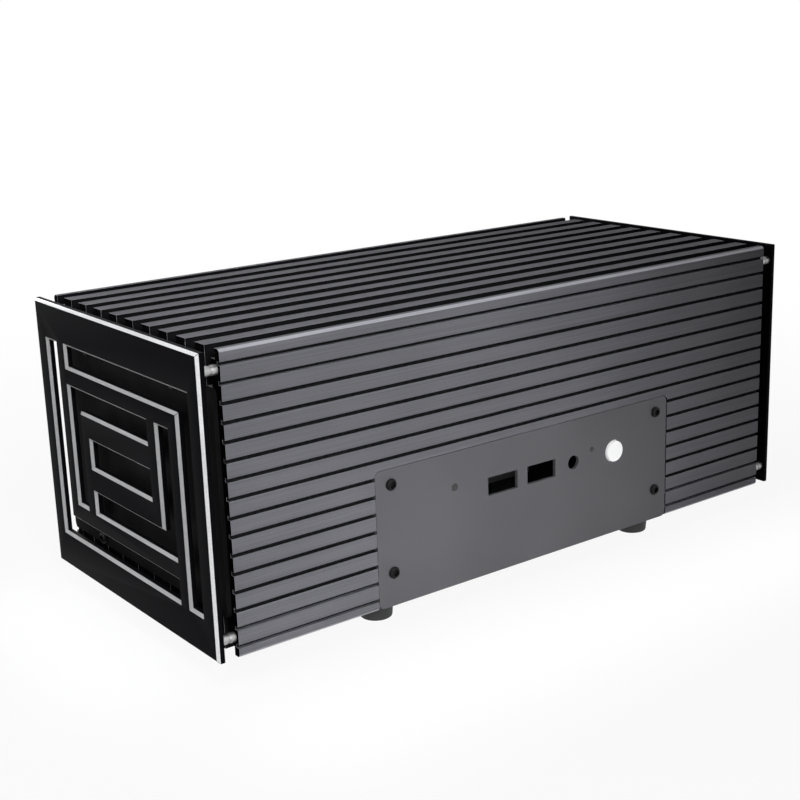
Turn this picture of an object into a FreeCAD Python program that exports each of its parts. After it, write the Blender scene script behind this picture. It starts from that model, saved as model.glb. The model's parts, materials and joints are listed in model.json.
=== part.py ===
"""Compact fanless computer case: two finned aluminium shells, labyrinth end panels and port plates.

Frame: X along the length, Y from the front face to the rear, Z up, origin on the floor under the centre.
All sizes are millimetres and live in the spreadsheet "dims".
"""
import FreeCAD, Part
import math
import os
import re

import Sketcher

# Driving sizes, one named value each
SIZES = {
    # Whole case
    "case_length": 254.0,
    "case_height": 96.3,
    "board_size": 101.6,
    "board_clearance": 0.95,
    # Extruded shells
    "wall_thickness": 5.0,
    "floor_thickness": 5.0,
    "fin_height": 12.2,
    "fin_groove_count": 10,
    "fin_groove_width": 5.8,
    "lip_shoulder": 3.3,
    "edge_chamfer": 0.8,
    "face_groove_count": 16,
    "face_groove_foot": 3.6,
    "face_groove_head": 4.35,
    "face_groove_width": 1.25,
    "face_groove_depth": 1.5,
    "seam_clearance": 0.15,
    "tongue_thickness": 2.0,
    "tongue_length": 1.8,
    # Labyrinth end panels on four pins each
    "panel_thickness": 2.5,
    "panel_chamfer": 1.0,
    "panel_gap": 5.0,
    "maze_side_margin": 8.0,
    "maze_top_margin": 13.5,
    "maze_slot": 7.0,
    "maze_bar": 7.0,
    "pin_radius": 1.6,
    "pin_inset": 6.3,
    "pin_stud_radius": 1.2,
    "pin_stud_length": 6.0,
    # Inner end plates
    "end_plate_thickness": 1.5,
    "end_plate_setback": 3.0,
    "end_plate_corner": 2.0,
    "end_screw_spacing": 60.0,
    # Port plates, one in the front wall and one in the rear wall
    "io_width": 134.0,
    "io_height": 47.4,
    "io_thickness": 1.5,
    "io_sink": 0.2,
    "io_gap": 0.3,
    "io_corner": 2.0,
    "io_seat": 12.7,
    "io_window_rise": 1.0,
    "io_window_height": 27.0,
    "io_screw_inset": 6.3,
    "io_screw_level": 26.8,
    "io_screw_rise": 15.1,
    # Front ports, from the middle of the plate
    "port_level": 31.4,
    "port_gap": 6.0,
    "usb_left": -20.0,
    "usb_width": 13.2,
    "usb_height": 6.6,
    "usb_gap": 4.5,
    "jack_radius": 2.6,
    "lamp_radius": 1.0,
    "lamp_rise": 2.9,
    "sensor_offset": 34.4,
    "sensor_rise": 3.3,
    "sensor_radius": 1.3,
    # Rear ports
    "rear_left": -47.5,
    "rear_ceiling": 35.2,
    "inlet_radius": 4.1,
    "video_width": 15.8,
    "video_height": 6.4,
    "network_width": 16.4,
    "network_height": 14.0,
    "stack_width": 14.8,
    "stack_height": 16.0,
    "aerial_radius": 3.2,
    "aerial_spacing": 74.0,
    "aerial_level": 40.8,
    "aerial_rim": 1.2,
    # Power button and its carrier
    "button_radius": 3.9,
    "button_proud": 0.9,
    "button_edge": 0.4,
    "button_flange": 1.1,
    "button_flange_thickness": 1.0,
    "button_travel": 1.0,
    "stem_radius": 1.6,
    "slide_clearance": 0.3,
    "carrier_wall": 1.3,
    "carrier_ear_width": 6.0,
    "carrier_ear_length": 5.8,
    "carrier_ear_thickness": 1.5,
    # Light rods behind the front plate, and rims
    "rod_length": 6.0,
    "rim_thickness": 1.0,
    "rim_width": 1.0,
    # Board posts and processor block
    "board_hole_inset_x": 4.8,
    "board_hole_inset_y": 8.8,
    "post_height": 18.0,
    "post_radius": 3.2,
    "post_thread_radius": 1.25,
    "post_thread_depth": 8.0,
    "processor_height": 2.5,
    "block_length": 40.0,
    "block_depth": 32.0,
    "flange_length": 60.0,
    "flange_depth": 44.0,
    "flange_thickness": 5.0,
    "flange_screw_inset": 5.0,
    # Drive tray under the upper shell
    "sheet_thickness": 1.2,
    "drive_length": 104.0,
    "drive_width": 74.0,
    "drive_space": 10.5,
    "drive_hole_x": 76.6,
    "drive_hole_y": 61.7,
    "drive_hole_radius": 1.7,
    "tray_flange": 12.0,
    "tray_screw_inset": 14.0,
    "tray_slot_width": 8.0,
    "tray_slot_length": 50.0,
    "tray_slot_pitch": 20.0,
    # Feet
    "foot_height": 7.0,
    "foot_radius": 6.0,
    "foot_taper": 0.6,
    "foot_recess_radius": 3.2,
    "foot_web": 2.4,
    "foot_spacing": 121.0,
    # Screws
    "screw_radius": 1.5,
    "screw_head_radius": 2.0,
    "screw_head_height": 1.2,
    "screw_grip": 4.0,
    "small_screw_radius": 0.9,
    "small_screw_grip": 1.0,
    "thread_clearance": 0.05,
    "hole_clearance": 0.2,
}

# Sizes and places worked out from the driving sizes
WORKED_OUT = {
    "case_depth": "board_size + 2 * (board_clearance + wall_thickness)",
    "end_stack": "panel_thickness + panel_gap",
    "body_length": "case_length - 2 * end_stack",
    "fin_pitch": "case_depth / fin_groove_count",
    "lip": "fin_pitch / 2 - fin_groove_width / 2",
    "rim": "fin_pitch / 2 + fin_groove_width / 2",
    "inner_level": "fin_height + floor_thickness",
    "floor_middle": "fin_height + floor_thickness / 2",
    "floor_edge": "case_depth - wall_thickness - seam_clearance",
    "tongue_low": "floor_middle - tongue_thickness / 2",
    "tongue_high": "floor_middle + tongue_thickness / 2",
    "slot_low": "case_height - tongue_high - seam_clearance",
    "slot_high": "case_height - tongue_low + seam_clearance",
    "slot_floor": "wall_thickness - tongue_length",
    "face_pitch": "(case_height - face_groove_foot - face_groove_head) / (face_groove_count - 1)",
    "body_top": "foot_height + case_height",
    "thread_hole": "screw_radius + thread_clearance",
    "clear_hole": "screw_radius + hole_clearance",
    "stud_hole": "pin_stud_radius + thread_clearance",
    "thread_depth": "screw_grip + hole_clearance",
    "stud_depth": "pin_stud_length + hole_clearance",
    "pin_inset_y": "wall_thickness / 2",
    "io_recess": "io_thickness + io_sink",
    "io_screw_x": "io_width / 2 - io_screw_inset",
    "io_overrun": "2 * io_corner",
    "io_grip": "wall_thickness - io_recess",
    "window_half": "io_width / 2 - io_seat",
    "window_low": "inner_level + io_window_rise",
    "window_high": "window_low + io_window_height",
    "usb_right": "usb_left + 2 * usb_width + usb_gap",
    "jack_x": "usb_right + port_gap + jack_radius",
    "lamp_x": "jack_x + jack_radius + port_gap + lamp_radius / 2",
    "button_hole": "button_radius + slide_clearance",
    "button_x": "lamp_x + lamp_radius + port_gap + button_radius",
    "flange_front": "io_recess + slide_clearance",
    "flange_back": "flange_front + button_flange_thickness",
    "flange_radius": "button_radius + button_flange",
    "carrier_bore": "flange_radius + slide_clearance",
    "carrier_outer": "carrier_bore + carrier_wall",
    "carrier_inner_back": "flange_back + button_travel + slide_clearance",
    "carrier_back": "carrier_inner_back + carrier_wall",
    "stem_end": "carrier_back + button_travel / 2",
    "ear_inner": "carrier_bore + carrier_wall / 2",
    "ear_outer": "carrier_outer + carrier_ear_length",
    "ear_screw": "carrier_outer + carrier_ear_length / 2",
    "board_half_x": "board_size / 2 - board_hole_inset_x",
    "board_half_y": "board_size / 2 - board_hole_inset_y",
    "block_height": "post_height - processor_height",
    "flange_screw_x": "flange_length / 2 - flange_screw_inset",
    "flange_screw_y": "flange_depth / 2 - flange_screw_inset",
    "tray_floor": "drive_space + sheet_thickness",
    "tray_screw_x": "drive_length / 2 + tray_flange / 2",
    "tray_screw_y": "drive_width / 2 - tray_screw_inset",
    "foot_y": "case_depth / 2 - fin_pitch",
    "foot_grip": "foot_web + screw_grip",
    "maze_y0": "maze_side_margin",
    "maze_y1": "case_depth - maze_side_margin",
    "maze_z0": "maze_top_margin",
    "maze_z1": "case_height - maze_top_margin",
    "maze_step": "maze_slot + maze_bar",
    "core_third": "(case_height - 2 * (maze_top_margin + maze_step + maze_slot)) / 3",
    "core_z0": "maze_top_margin + maze_step + maze_slot + core_third",
}

FULL_TURN = 360
QUARTER_TURN = math.pi / 2
# Largest distance at which a face still lies on a plane
TOUCH = 1e-6
RIGHT_HAND = FreeCAD.Vector(0, 0, 1)
ABOUT_X = FreeCAD.Rotation(FreeCAD.Vector(1, 0, 0), 180)
ABOUT_Z = FreeCAD.Rotation(FreeCAD.Vector(0, 0, 1), 180)
NO_TURN = FreeCAD.Rotation()

DOC = FreeCAD.newDocument("fanless_case")
SHEET = DOC.addObject("Spreadsheet::Sheet", "dims")


def fill_sheet():
    """Write every driving size into its own named cell."""
    for row, (name, size) in enumerate(SIZES.items(), start=1):
        SHEET.set(f"A{row}", name)
        SHEET.set(f"B{row}", str(size))
        SHEET.setAlias(f"B{row}", name)
    DOC.recompute()


def bind(formula):
    """Formula text in which each named size is its spreadsheet cell."""
    def cell(match):
        name = match.group(0)
        if name in WORKED_OUT:
            return "(" + bind(WORKED_OUT[name]) + ")"
        return "dims." + name if name in SIZES else name
    return re.sub(r"[a-z][a-z_0-9]*", cell, formula)


def value(formula):
    """Present number of a formula."""
    return float(SHEET.evalExpression(bind(formula)))


# Sketches and features

def new_body(label, x="0", y="0", z="0", turn=NO_TURN):
    """Empty body whose place follows the sheet."""
    body = DOC.addObject("PartDesign::Body", label)
    body.Label = label
    body.Placement = FreeCAD.Placement(FreeCAD.Vector(value(x), value(y), value(z)), turn)
    for axis, formula in zip("xyz", (x, y, z)):
        body.setExpression(f"Placement.Base.{axis}", bind(formula))
    return body


def origin_part(body, role):
    """Plane or axis of a body's own origin."""
    return next(item for item in body.Origin.OriginFeatures if item.Role == role)


def new_sketch(body, name, plane, offset="0"):
    """Sketch on one of the body's planes, moved along the plane's normal."""
    sketch = body.newObject("Sketcher::SketchObject", f"{body.Name}_{name}")
    sketch.AttachmentSupport = [(origin_part(body, plane), "")]
    sketch.MapMode = "FlatFace"
    sketch.setExpression("AttachmentOffset.Base.z", bind(offset))
    return sketch


def measure(sketch, constraint, formula):
    """Add a sized constraint that follows the sheet."""
    index = sketch.addConstraint(constraint)
    sketch.setExpression(f"Constraints[{index}]", bind(formula))


def pin_point(sketch, item, end, x, y):
    """Hold one point of a sketch line, arc or circle."""
    measure(sketch, Sketcher.Constraint("DistanceX", -1, 1, item, end, value(x)), x)
    measure(sketch, Sketcher.Constraint("DistanceY", -1, 1, item, end, value(y)), y)


def polygon(sketch, corners):
    """Closed outline through corners given as pairs of formulas."""
    points = [FreeCAD.Vector(value(x), value(y)) for x, y in corners]
    first = sketch.GeometryCount
    for start, end in zip(points, points[1:] + points[:1]):
        sketch.addGeometry(Part.LineSegment(start, end))
    for i, (x, y) in enumerate(corners):
        following = first + (i + 1) % len(corners)
        sketch.addConstraint(Sketcher.Constraint("Coincident", first + i, 2, following, 1))
        pin_point(sketch, first + i, 1, x, y)


def rectangle(sketch, x0, y0, x1, y1):
    """Rectangle between two corners."""
    polygon(sketch, [(x0, y0), (x1, y0), (x1, y1), (x0, y1)])


def rounded_rectangle(sketch, x0, y0, x1, y1, radius):
    """Rectangle with a round at each corner: four sides and four arcs."""
    inner = [(f"{x0} + {radius}", f"{x1} - {radius}"), (f"{y0} + {radius}", f"{y1} - {radius}")]
    (xa, xb), (ya, yb) = inner
    sides = [((xa, y0), (xb, y0)), ((x1, ya), (x1, yb)), ((xb, y1), (xa, y1)), ((x0, yb), (x0, ya))]
    centres = [(xb, ya), (xb, yb), (xa, yb), (xa, ya)]
    first = sketch.GeometryCount
    for start, end in sides:
        ends = [FreeCAD.Vector(value(x), value(y)) for x, y in (start, end)]
        sketch.addGeometry(Part.LineSegment(*ends))
    for i, (x, y) in enumerate(centres):
        ring = Part.Circle(FreeCAD.Vector(value(x), value(y)), RIGHT_HAND, value(radius))
        sketch.addGeometry(Part.ArcOfCircle(ring, (i - 1) * QUARTER_TURN, i * QUARTER_TURN))
    for i, (start, end) in enumerate(sides):
        side = first + i
        arc = side + len(sides)
        following = first + (i + 1) % len(sides)
        pin_point(sketch, side, 1, *start)
        pin_point(sketch, side, 2, *end)
        sketch.addConstraint(Sketcher.Constraint("Coincident", side, 2, arc, 1))
        sketch.addConstraint(Sketcher.Constraint("Coincident", arc, 2, following, 1))
        measure(sketch, Sketcher.Constraint("Radius", arc, value(radius)), radius)


def circle(sketch, x, y, radius):
    """Circle held at its centre."""
    item = sketch.addGeometry(Part.Circle(FreeCAD.Vector(value(x), value(y)), RIGHT_HAND, value(radius)))
    pin_point(sketch, item, 3, x, y)
    measure(sketch, Sketcher.Constraint("Radius", item, value(radius)), radius)


def four_circles(sketch, x, y, half_x, half_y, radius):
    """Circles at the corners of a rectangle centred on x, y."""
    for side_x in "-+":
        for side_y in "-+":
            circle(sketch, f"{x} {side_x} ({half_x})", f"{y} {side_y} ({half_y})", radius)


def hexagon(sketch, x, y, radius):
    """Hexagon with two corners along the sketch's first axis."""
    corners = []
    for degrees in range(0, FULL_TURN, FULL_TURN // 6):
        corners.append((f"{x} + {radius} * cos({degrees} deg)", f"{y} + {radius} * sin({degrees} deg)"))
    polygon(sketch, corners)


def pad(body, sketch, length, reverse=False):
    """Extrude a sketch along its normal, or against it."""
    feature = body.newObject("PartDesign::Pad", f"{sketch.Name}_pad")
    feature.Profile = sketch
    feature.Reversed = reverse
    feature.setExpression("Length", bind(length))
    return feature


def pocket(body, sketch, depth, along_normal=False):
    """Cut a sketch into the body, against its normal or along it."""
    feature = body.newObject("PartDesign::Pocket", f"{sketch.Name}_cut")
    feature.Profile = sketch
    feature.Reversed = along_normal
    feature.setExpression("Length", bind(depth))
    return feature


def revolve(body, sketch, axis):
    """Turn a half section about one of the body's axes."""
    feature = body.newObject("PartDesign::Revolution", f"{sketch.Name}_turn")
    feature.Profile = sketch
    feature.ReferenceAxis = (origin_part(body, axis), [""])
    feature.Angle = FULL_TURN
    return feature


def repeat(body, features, axis, spacing, count="2", axis2=None, spacing2="0"):
    """Copies of features in a row, or in two rows where a second axis is given."""
    pattern = body.newObject("PartDesign::LinearPattern", f"{features[0].Name}_row")
    pattern.Originals = features
    pattern.Direction = (origin_part(body, axis), [""])
    pattern.Mode = "Spacing"
    pattern.setExpression("Offset", bind(spacing))
    pattern.setExpression("Occurrences", bind(count))
    if axis2:
        pattern.Direction2 = (origin_part(body, axis2), [""])
        pattern.Mode2 = "Extent"
        pattern.setExpression("Length2", bind(spacing2))
        pattern.Occurrences2 = 2
    body.Tip = pattern
    return pattern


def chamfer_start_face(body, feature, size):
    """Chamfer every edge of the face from which an upright sketch was extruded along X."""
    DOC.recompute()
    faces = [f"Face{number}" for number, face in enumerate(feature.Shape.Faces, start=1)
             if abs(face.CenterOfMass.x) < TOUCH]
    chamfer = body.newObject("PartDesign::Chamfer", f"{feature.Name}_chamfer")
    chamfer.Base = (feature, faces)
    chamfer.setExpression("Size", bind(size))


# Extruded shells

def shell(label, z, side, turn, recess, window, screw_level):
    """L-shaped extrusion: a grooved wall at y = 0 and a finned floor at z = 0, cut for a port plate."""
    body = new_body(label, "-body_length / 2", f"{side} case_depth / 2", z, turn)
    section = new_sketch(body, "section", "YZ_Plane")
    polygon(section, [
        ("0", "edge_chamfer"), ("edge_chamfer", "0"), ("lip", "0"), ("lip", "lip_shoulder"),
        ("wall_thickness", "lip_shoulder"), ("wall_thickness", "fin_height"), ("rim", "fin_height"),
        ("rim", "0"), ("case_depth - rim", "0"), ("case_depth - rim", "fin_height"),
        ("floor_edge", "fin_height"), ("floor_edge", "tongue_low"),
        ("floor_edge + tongue_length", "tongue_low"), ("floor_edge + tongue_length", "tongue_high"),
        ("floor_edge", "tongue_high"), ("floor_edge", "inner_level"), ("wall_thickness", "inner_level"),
        ("wall_thickness", "slot_low"), ("slot_floor", "slot_low"), ("slot_floor", "slot_high"),
        ("wall_thickness", "slot_high"), ("wall_thickness", "case_height - lip_shoulder"),
        ("lip", "case_height - lip_shoulder"), ("lip", "case_height"),
        ("edge_chamfer", "case_height"), ("0", "case_height - edge_chamfer"),
    ])
    pad(body, section, "body_length")
    fin_groove = new_sketch(body, "fin_groove", "YZ_Plane")
    rectangle(fin_groove, "fin_pitch + lip", "0", "fin_pitch + rim", "fin_height")
    first_fin = pocket(body, fin_groove, "body_length", along_normal=True)
    repeat(body, [first_fin], "Y_Axis", "fin_pitch", "fin_groove_count - 2")
    face_groove = new_sketch(body, "face_groove", "YZ_Plane")
    rectangle(face_groove, "0", "face_groove_foot - face_groove_width / 2",
              "face_groove_depth", "face_groove_foot + face_groove_width / 2")
    first_face = pocket(body, face_groove, "body_length", along_normal=True)
    repeat(body, [first_face], "Z_Axis", "face_pitch", "face_groove_count")
    middle = "body_length / 2"
    for name, (low, high), half, depth in (("plate_recess", recess, "io_width / 2", "io_recess"),
                                           ("port_window", window, "window_half", "wall_thickness")):
        outline = new_sketch(body, name, "XZ_Plane")
        rounded_rectangle(outline, f"{middle} - {half}", low, f"{middle} + {half}", high, "io_corner")
        pocket(body, outline, depth)
    plate_threads = new_sketch(body, "plate_threads", "XZ_Plane")
    four_circles(plate_threads, middle, screw_level, "io_screw_x", "io_screw_rise", "thread_hole")
    pocket(body, plate_threads, "wall_thickness")
    for end, offset in (("left", "0"), ("right", "body_length")):
        studs = new_sketch(body, f"{end}_stud_holes", "YZ_Plane", offset)
        circle(studs, "pin_inset_y", "pin_inset", "stud_hole")
        circle(studs, "pin_inset_y", "case_height - pin_inset", "stud_hole")
        pocket(body, studs, "stud_depth", along_normal=end == "left")
        threads = new_sketch(body, f"{end}_thread_holes", "YZ_Plane", offset)
        for sign in "-+":
            circle(threads, f"case_depth / 2 {sign} end_screw_spacing / 2", "floor_middle", "thread_hole")
        pocket(body, threads, "thread_depth", along_normal=end == "left")
    return body


def lower_shell():
    """Front wall and finned floor, tapped for the board posts, the processor block and the feet."""
    body = shell("lower_shell", "foot_height", "-", NO_TURN, ("0 - io_overrun", "io_height"),
                 ("window_low", "window_high"), "io_screw_level")
    centre = ("body_length / 2", "case_depth / 2")
    inside = new_sketch(body, "floor_holes", "XY_Plane", "inner_level")
    four_circles(inside, *centre, "board_half_x", "board_half_y", "thread_hole")
    four_circles(inside, *centre, "flange_screw_x", "flange_screw_y", "thread_hole")
    pocket(body, inside, "thread_depth")
    below = new_sketch(body, "foot_holes", "XY_Plane")
    four_circles(below, *centre, "foot_spacing / 2", "foot_y", "thread_hole")
    pocket(body, below, "thread_depth", along_normal=True)


def upper_shell():
    """Rear wall and finned roof, the lower shell's section turned over, tapped for the drive tray."""
    body = shell("upper_shell", "body_top", "", ABOUT_X,
                 ("case_height - io_height", "case_height + io_overrun"),
                 ("case_height - window_high", "case_height - window_low"), "case_height - io_screw_level")
    inside = new_sketch(body, "roof_holes", "XY_Plane", "inner_level")
    four_circles(inside, "body_length / 2", "case_depth / 2", "tray_screw_x", "tray_screw_y", "thread_hole")
    pocket(body, inside, "thread_depth")


# Screws

def screw_section(sketch, along, radius, length, head_radius, head_height):
    """Half section of a low round-headed screw, seated at zero and pointing along its axis."""
    outline = [("0", f"0 - {head_height}"), (head_radius, f"0 - {head_height}"), (head_radius, "0"),
               (radius, "0"), (radius, length), ("0", length)]
    order = (1, 0) if along == "x" else (0, 1)
    polygon(sketch, [tuple(point[i] for i in order) for point in outline])


SCREW_AXES = {"x": ("XY_Plane", "X_Axis"), "y": ("XY_Plane", "Y_Axis"), "z": ("XZ_Plane", "Z_Axis")}


def screws(label, place, along, rows, turn=NO_TURN, radius="screw_radius", length="screw_grip",
           head_radius="screw_head_radius", head_height="screw_head_height"):
    """Group of equal screws: one turned screw and its copies."""
    plane, axis = SCREW_AXES[along]
    body = new_body(label, *place, turn)
    section = new_sketch(body, "section", plane)
    screw_section(section, along, radius, length, head_radius, head_height)
    repeat(body, [revolve(body, section, axis)], *rows)


# Ends: labyrinth panel, pins, inner plate and its screws

ENDS = {"left": ("-", "+", NO_TURN), "right": ("+", "-", ABOUT_Z)}


def end_place(side, x, y="0", z="0"):
    """Place and turn measured from an end's outer corner, x inwards and y across the end."""
    outward, inward, turn = ENDS[side]
    return (f"0 {outward} case_length / 2 {inward} ({x})",
            f"0 {outward} case_depth / 2 {inward} ({y})", f"foot_height + {z}", turn)


def maze_slots(sketch):
    """Two broken rings of L-shaped slots round a stepped slot, each ring broken at opposite corners."""
    y0, y1, z0, z1 = "maze_y0", "maze_y1", "maze_z0", "maze_z1"
    polygon(sketch, [(y1, z1), (f"{y1} - maze_slot", z1), (f"{y1} - maze_slot", f"{z0} + maze_slot"),
                     (f"{y0} + maze_step", f"{z0} + maze_slot"), (f"{y0} + maze_step", z0), (y1, z0)])
    polygon(sketch, [(y0, z0), (f"{y0} + maze_slot", z0), (f"{y0} + maze_slot", f"{z1} - maze_slot"),
                     (f"{y1} - maze_step", f"{z1} - maze_slot"), (f"{y1} - maze_step", z1), (y0, z1)])
    y2, y3, z2, z3 = f"{y0} + maze_step", f"{y1} - maze_step", f"{z0} + maze_step", f"{z1} - maze_step"
    polygon(sketch, [(y3, z3), (f"{y2} + maze_step", z3), (f"{y2} + maze_step", f"{z3} - maze_slot"),
                     (f"{y3} - maze_slot", f"{z3} - maze_slot"), (f"{y3} - maze_slot", z2), (y3, z2)])
    polygon(sketch, [(y2, z2), (f"{y3} - maze_step", z2), (f"{y3} - maze_step", f"{z2} + maze_slot"),
                     (f"{y2} + maze_slot", f"{z2} + maze_slot"), (f"{y2} + maze_slot", z3), (y2, z3)])
    rectangle(sketch, f"{y2} + maze_step", "core_z0", f"{y3} - maze_step", "core_z0 + core_third")


def end_panel(side):
    """Flat panel cut with the labyrinth, with a chamfer round all the edges of its outer face."""
    body = new_body(f"{side}_end_panel", *end_place(side, "0"))
    outline = new_sketch(body, "outline", "YZ_Plane")
    rectangle(outline, "0", "0", "case_depth", "case_height")
    maze_slots(outline)
    sheet = pad(body, outline, "panel_thickness")
    chamfer_start_face(body, sheet, "panel_chamfer")


def panel_pins(side):
    """Stepped pins on the back of a panel: a collar that stands it off the shells and a stud."""
    body = new_body(f"{side}_panel_pins", *end_place(side, "panel_thickness", "pin_inset_y", "pin_inset"))
    section = new_sketch(body, "section", "XY_Plane")
    stud_end = "panel_gap + pin_stud_length"
    polygon(section, [("0", "0"), ("0", "pin_radius"), ("panel_gap", "pin_radius"),
                      ("panel_gap", "pin_stud_radius"), (stud_end, "pin_stud_radius"), (stud_end, "0")])
    pin = revolve(body, section, "X_Axis")
    across, upward = "case_depth - 2 * pin_inset_y", "case_height - 2 * pin_inset"
    repeat(body, [pin], "Y_Axis", across, "2", "Z_Axis", upward)


def end_plate(side):
    """Plain inner plate that closes the board chamber."""
    body = new_body(f"{side}_end_plate", *end_place(side, "end_stack - end_plate_thickness"))
    outline = new_sketch(body, "outline", "YZ_Plane")
    rounded_rectangle(outline, "end_plate_setback", "fin_height", "case_depth - end_plate_setback",
                      "case_height - fin_height", "end_plate_corner")
    four_circles(outline, "case_depth / 2", "case_height / 2", "end_screw_spacing / 2",
                 "case_height / 2 - floor_middle", "clear_hole")
    pad(body, outline, "end_plate_thickness")


def end_screws(side):
    """Four screws through an inner end plate into the floor and the roof."""
    *place, turn = end_place(side, "end_stack - end_plate_thickness",
                             "case_depth / 2 - end_screw_spacing / 2", "floor_middle")
    rows = ("Y_Axis", "end_screw_spacing", "2", "Z_Axis", "case_height - 2 * floor_middle")
    screws(f"{side}_end_screws", place, "x", rows, turn, length="end_plate_thickness + screw_grip")


# Port plates

SIDES = {"front": ("-", NO_TURN), "rear": ("", ABOUT_Z)}


def port_plate(side, openings):
    """Plate in its recess, with four screw holes and the openings that a function draws."""
    sign, turn = SIDES[side]
    body = new_body(f"{side}_io_plate", "0", f"{sign}case_depth / 2", "foot_height", turn)
    outline = new_sketch(body, "outline", "XZ_Plane", "0 - io_recess")
    rounded_rectangle(outline, "io_gap - io_width / 2", "0", "io_width / 2 - io_gap",
                      "io_height - io_gap", "io_corner")
    four_circles(outline, "0", "io_screw_level", "io_screw_x", "io_screw_rise", "clear_hole")
    openings(outline)
    pad(body, outline, "io_thickness")
    return body


def front_openings(sketch):
    """Two sockets, a round jack, a lamp, the button and a sensor hole."""
    usb_low, usb_high = "port_level - usb_height / 2", "port_level + usb_height / 2"
    for left in ("usb_left", "usb_left + usb_width + usb_gap"):
        rectangle(sketch, left, usb_low, f"{left} + usb_width", usb_high)
    circle(sketch, "jack_x", "port_level", "jack_radius")
    circle(sketch, "lamp_x", "port_level + lamp_rise", "lamp_radius + thread_clearance")
    circle(sketch, "button_x", "port_level", "button_hole")
    circle(sketch, "0 - sensor_offset", "port_level + sensor_rise", "sensor_radius + thread_clearance")


def rear_openings(sketch):
    """Power inlet, two video sockets, a network socket, a double socket and two aerial holes."""
    circle(sketch, "rear_left + inlet_radius", "rear_ceiling - inlet_radius", "inlet_radius")
    left = "rear_left + 2 * inlet_radius + port_gap"
    for kind in ("video", "network", "stack", "video"):
        right = f"{left} + {kind}_width"
        rectangle(sketch, left, f"rear_ceiling - {kind}_height", right, "rear_ceiling")
        left = f"{right} + port_gap"
    for sign in "-+":
        circle(sketch, f"0 {sign} aerial_spacing / 2", "aerial_level", "aerial_radius")


def port_plates():
    """Front and rear plates with their screws."""
    front = port_plate("front", front_openings)
    ears = new_sketch(front, "carrier_threads", "XZ_Plane", "0 - io_recess")
    for sign in "-+":
        circle(ears, "button_x", f"port_level {sign} ear_screw", "small_screw_radius + thread_clearance")
    pocket(front, ears, "small_screw_grip + hole_clearance", along_normal=True)
    port_plate("rear", rear_openings)
    rows = ("X_Axis", "2 * io_screw_x", "2", "Z_Axis", "2 * io_screw_rise")
    level = "foot_height + io_screw_level - io_screw_rise"
    grip = "io_thickness + io_grip"
    screws("front_io_screws", ("0 - io_screw_x", "io_sink - case_depth / 2", level), "y", rows, length=grip)
    screws("rear_io_screws", ("io_screw_x", "case_depth / 2 - io_sink", level), "y", rows, ABOUT_Z,
           length=grip)


def aerial_plugs():
    """Soft plugs in the two aerial holes, each with a rim on the outer face of the plate."""
    body = new_body("aerial_plugs", "aerial_spacing / 2", "case_depth / 2 - io_sink",
                    "foot_height + aerial_level", ABOUT_Z)
    section = new_sketch(body, "section", "XY_Plane")
    outer = "aerial_radius + aerial_rim"
    depth = "io_thickness + rim_thickness"
    polygon(section, [("0", "0 - rim_thickness"), (outer, "0 - rim_thickness"), (outer, "0"),
                      ("aerial_radius", "0"), ("aerial_radius", depth), ("0", depth)])
    repeat(body, [revolve(body, section, "Y_Axis")], "X_Axis", "aerial_spacing")


# Power button group

def button_body(label):
    """Body on the button's axis, y inwards from the front face."""
    return new_body(label, "button_x", "0 - case_depth / 2", "foot_height + port_level")


def power_button():
    """Turned cap with a flange behind the plate and a stem."""
    body = button_body("power_button")
    section = new_sketch(body, "section", "XY_Plane")
    face = "io_sink - button_proud"
    polygon(section, [("0", face), ("button_radius - button_edge", face),
                      ("button_radius", f"{face} + button_edge"),
                      ("button_radius", "flange_front"), ("flange_radius", "flange_front"),
                      ("flange_radius", "flange_back"), ("stem_radius", "flange_back"),
                      ("stem_radius", "stem_end"), ("0", "stem_end")])
    revolve(body, section, "Y_Axis")


def button_carrier():
    """Cup behind the plate that guides the stem, with two screwed ears."""
    body = button_body("button_carrier")
    section = new_sketch(body, "section", "XY_Plane")
    polygon(section, [("carrier_bore", "io_recess"), ("carrier_outer", "io_recess"),
                      ("carrier_outer", "carrier_back"), ("stem_radius + slide_clearance", "carrier_back"),
                      ("stem_radius + slide_clearance", "carrier_inner_back"),
                      ("carrier_bore", "carrier_inner_back")])
    revolve(body, section, "Y_Axis")
    ears = new_sketch(body, "ears", "XZ_Plane", "0 - io_recess")
    half = "carrier_ear_width / 2"
    for sign in "-+":
        rectangle(ears, f"0 - {half}", f"0 {sign} ear_inner", half, f"0 {sign} ear_outer")
        circle(ears, "0", f"0 {sign} ear_screw", "small_screw_radius + hole_clearance")
    pad(body, ears, "carrier_ear_thickness", reverse=True)


def carrier_screws():
    """Two small screws through the carrier's ears into the back of the front plate."""
    place = ("button_x", "io_recess + carrier_ear_thickness - case_depth / 2",
             "foot_height + port_level + ear_screw")
    screws("carrier_screws", place, "y", ("Z_Axis", "2 * ear_screw"), ABOUT_X,
           radius="small_screw_radius", length="carrier_ear_thickness + small_screw_grip",
           head_radius="2 * small_screw_radius", head_height="screw_head_height")


def light_rod(label, x, level, radius):
    """Turned rod in a round hole of the front plate, with a rim behind it."""
    body = new_body(label, x, "0 - case_depth / 2", f"foot_height + {level}")
    section = new_sketch(body, "section", "XY_Plane")
    rim, rim_back = f"{radius} + rim_width", "io_recess + rim_thickness"
    end = "io_recess + rod_length"
    polygon(section, [("0", "io_sink"), (radius, "io_sink"), (radius, "io_recess"), (rim, "io_recess"),
                      (rim, rim_back), (radius, rim_back), (radius, end), ("0", end)])
    revolve(body, section, "Y_Axis")


def lamp_and_sensor():
    """Clear rod for the lamp and dark lens for the sensor."""
    light_rod("lamp_guide", "lamp_x", "port_level + lamp_rise", "lamp_radius")
    light_rod("sensor_lens", "0 - sensor_offset", "port_level + sensor_rise", "sensor_radius")


# Inside

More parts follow.
